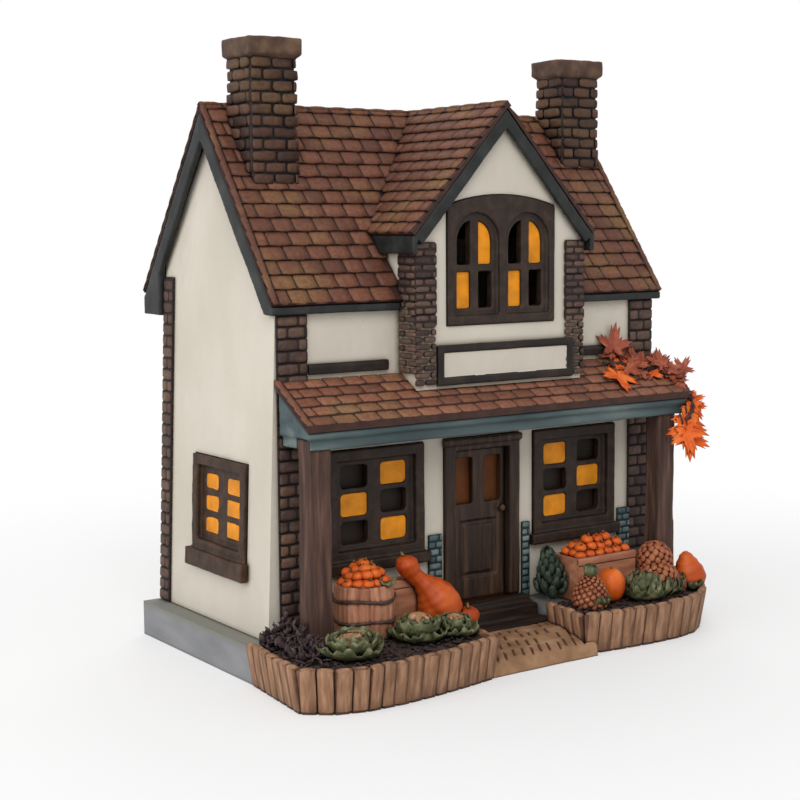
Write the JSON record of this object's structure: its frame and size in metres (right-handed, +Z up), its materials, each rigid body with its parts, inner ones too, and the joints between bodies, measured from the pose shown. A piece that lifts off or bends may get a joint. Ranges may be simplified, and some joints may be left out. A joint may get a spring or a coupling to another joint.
{
  "type": "lighted pumpkin house figurine",
  "caption": "Free-standing porch cottage figurine with two chimneys, a gabled bay, fenced pumpkin beds and a battery light behind cut-out panes.",
  "frame": {"origin": "middle of the footprint's bounding box, on the surface that the house stands on", "axes": "+X to the right along the house front, +Y from the front towards the back, +Z up"},
  "size_m": [0.214, 0.154, 0.2299],
  "materials": {
    "stone": "matt painted resin, olive moss on top",
    "cream": "matt painted resin",
    "tile": "matt painted resin, ochre dry-brushed",
    "trim": "satin painted resin",
    "brick": "matt painted resin",
    "chimney": "matt painted resin, ochre dry-brushed",
    "beam": "satin painted resin",
    "timber": "matt painted resin",
    "frame": "satin painted resin",
    "fence": "matt painted resin",
    "path": "matt painted resin",
    "orange": "satin painted resin",
    "green": "matt painted resin",
    "barrel": "matt painted resin",
    "cone": "matt painted resin",
    "leaf": "satin painted resin",
    "amber": "translucent film",
    "plastic": "fine moulded texture",
    "steel": "nickel plated",
    "cell": "printed sleeve, left plain",
    "board": "solder mask",
    "switch": "moulded"
  },
  "bodies": {
    "house": {"garden_base": "stone", "house_shell": "cream", "bay_shell": "cream", "main_roof": "tile", "dormer_roof": "tile", "roof_trim": "trim", "dormer_board": "trim", "chimney_left": "chimney", "chimney_right": "chimney", "quoin_front_left": "brick", "quoin_front_right": "brick", "quoin_back_left": "brick", "quoin_back_right": "brick", "quoin_bay_left": "brick", "quoin_bay_right": "brick", "porch_roof": "tile", "porch_beam": "beam", "porch_post_left": "timber", "porch_post_right": "timber", "window_front_left": "frame", "window_front_right": "frame", "window_bay": "frame", "window_side_left": "frame", "window_side_right": "frame", "glow_film": "amber", "door_frame": "frame", "door_leaf": "timber", "door_steps": "timber", "sign_board": "trim", "wall_rail_left": "trim", "wall_rail_right": "trim", "fence_left": "fence", "fence_right": "fence", "front_path": "path", "barrel": "barrel", "barrel_pumpkins": "orange", "crate_left": "barrel", "gourd": "orange", "cabbage_left": "green", "cabbage_pair": "green", "crate_right": "barrel", "crate_pumpkins": "orange", "pine_cone": "cone", "oval_pumpkin": "orange", "cabbage_right": "green", "corn_heap": "cone", "squash_right": "orange", "door_shrub": "green", "maple_garland": "leaf", "base_cover": "plastic", "battery_cell_front": "cell", "battery_cell_back": "cell", "contact_bridge": "steel", "contact_positive": "steel", "contact_negative": "steel", "light_board": "board", "lamp": "amber", "cover_screw": "steel"},
    "battery_door": {"battery_door": "plastic"},
    "switch_knob": {"switch_knob": "switch"}
  },
  "joints": [
    {"name": "battery_door_hinge", "type": "hinge", "parent": "house", "child": "battery_door", "pos_m": [-0.0283, 0.0344, 0.0024], "axis": [1, 0, 0], "range_deg": [0, 95]},
    {"name": "switch_slide", "type": "slide", "parent": "house", "child": "switch_knob", "axis": [1, 0, 0], "range_m": [0, 0.0035]}
  ]
}
